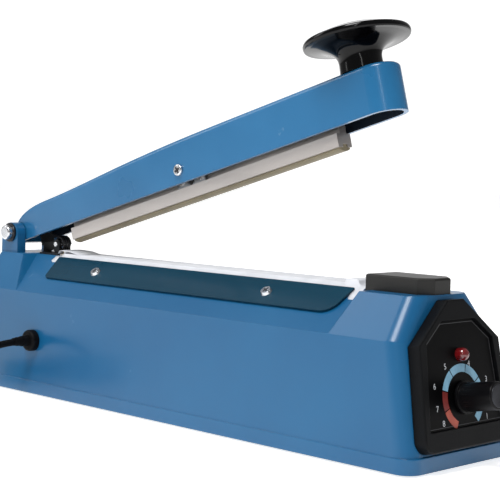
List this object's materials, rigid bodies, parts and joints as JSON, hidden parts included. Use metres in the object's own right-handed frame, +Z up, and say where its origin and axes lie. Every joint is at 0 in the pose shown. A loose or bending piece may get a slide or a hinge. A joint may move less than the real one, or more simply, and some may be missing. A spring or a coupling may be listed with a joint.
{
  "type": "impulse heat sealer",
  "caption": "Hand-operated impulse heat sealer: a long base with a cloth-covered heating strip, a sprung pressing arm with a knob handle, and a dial timer.",
  "frame": {"origin": "centre of the base, cord left out, on the table", "axes": "+X from the hinge towards the dial, -Y towards the side the cord leaves, +Z up"},
  "size_m": [0.3608, 0.1752, 0.199],
  "materials": {
    "blue_paint": "semi-gloss blue enamel",
    "blue_arm": "semi-gloss blue enamel",
    "teal_plate": "gloss dark blue lacquer on sheet metal",
    "black_panel": "fine satin black plastic",
    "black_gloss": "polished black plastic",
    "inner_plastic": "dark moulded plastic",
    "label_print": "printed glossy film",
    "red_lens": "translucent red plastic",
    "bare_aluminium": "satin extruded aluminium",
    "silicone": "off-white silicone rubber",
    "bright_steel": "nickel plated",
    "grey_steel": "zinc plated sheet",
    "black_steel": "black oxide steel",
    "brass": "plain brass",
    "white_cloth": "PTFE coated glass cloth",
    "tape": "glass fibre tape",
    "element_alloy": "bright resistance ribbon",
    "black_rubber": "soft matte rubber",
    "board_green": "solder resist",
    "laminations": "varnished steel laminations",
    "copper_wire": "taped copper winding",
    "pin_brass": "polished brass"
  },
  "bodies": {
    "base": {"base_housing": "blue_paint", "bed_bar": "bare_aluminium", "bed_screws": "bright_steel", "board_components": "inner_plastic", "bottom_plate": "grey_steel", "button_guide": "inner_plastic", "button_spring": "bright_steel", "case_screws": "grey_steel", "circuit_board": "board_green", "coil_tie": "black_panel", "cord_coil": "black_rubber", "cord_gland": "black_rubber", "cord_tail": "black_rubber", "dial_label": "label_print", "element_clamps": "brass", "front_bezel": "black_panel", "heating_element": "element_alloy", "hinge_bolt": "bright_steel", "hinge_nut": "bright_steel", "hinge_washers": "black_steel", "indicator_lens": "red_lens", "inner_leads": "copper_wire", "inner_screws": "grey_steel", "insulating_tape": "tape", "lamp_holder": "inner_plastic", "microswitch_body": "inner_plastic", "plate_screws": "bright_steel", "plug_body": "black_rubber", "plug_pins": "pin_brass", "power_cord": "black_rubber", "ptfe_cloth": "white_cloth", "return_spring": "black_steel", "rubber_feet": "black_rubber", "spring_bracket": "black_steel", "spring_pin": "bright_steel", "terminal_block": "inner_plastic", "timer_potentiometer": "inner_plastic", "transformer_bracket": "grey_steel", "transformer_core": "laminations", "transformer_winding": "copper_wire", "work_plates": "teal_plate"},
    "arm": {"arm_shell": "blue_arm", "arm_bushes": "bright_steel", "arm_stop": "black_steel", "cross_screw": "bright_steel", "cross_screw_nut": "bright_steel", "bar_springs": "bright_steel", "handle_knob": "black_gloss", "handle_screw": "bright_steel"},
    "press_bar": {"press_bar": "bare_aluminium", "silicone_strip": "silicone", "bar_hanger": "grey_steel", "hanger_rivets": "bare_aluminium"},
    "timer_knob": {"timer_knob": "black_panel", "timer_shaft": "bright_steel", "timer_knob_cap": "bare_aluminium"},
    "switch_button": {"switch_button": "black_gloss"},
    "switch_lever": {"microswitch_lever": "bright_steel"},
    "switch_plunger": {"microswitch_plunger": "red_lens"}
  },
  "joints": [
    {"name": "arm_hinge", "type": "hinge", "parent": "base", "child": "arm", "pos_m": [-0.163, 0, 0.088], "axis": [0, -1, 0], "range_deg": [-15, 0], "stiffness_Nm_per_rad": 1.2, "springref_deg": 51.57, "deforming": ["return_spring"]},
    {"name": "bar_slide", "type": "slide", "parent": "arm", "child": "press_bar", "axis": [-0.2622, 0, 0.965], "range_m": [0, 0.0054], "deforming": ["bar_springs"]},
    {"name": "timer_turn", "type": "hinge", "parent": "base", "child": "timer_knob", "pos_m": [0.14943, 0, 0.03057], "axis": [0.9856, 0, 0.1689], "range_deg": [-122, 122]},
    {"name": "button_press", "type": "slide", "parent": "base", "child": "switch_button", "axis": [0, 0, -1], "range_m": [0, 0.0012], "stiffness_N_per_m": 300, "springref_m": -0.004, "deforming": ["button_spring"]},
    {"name": "lever_swing", "type": "hinge", "parent": "base", "child": "switch_lever", "pos_m": [0.1157, 0, 0.0547], "axis": [0, 1, 0], "range_deg": [0, 7.4]},
    {"name": "plunger_press", "type": "slide", "parent": "base", "child": "switch_plunger", "axis": [0, 0, -1], "range_m": [0, 0.00062]}
  ],
  "couplings": [
    {"joint": "bar_slide", "follows": "arm_hinge", "m_per_rad": -0.0203},
    {"joint": "lever_swing", "follows": "button_press", "rad_per_m": 106.2},
    {"joint": "plunger_press", "follows": "button_press", "ratio": 0.5}
  ]
}
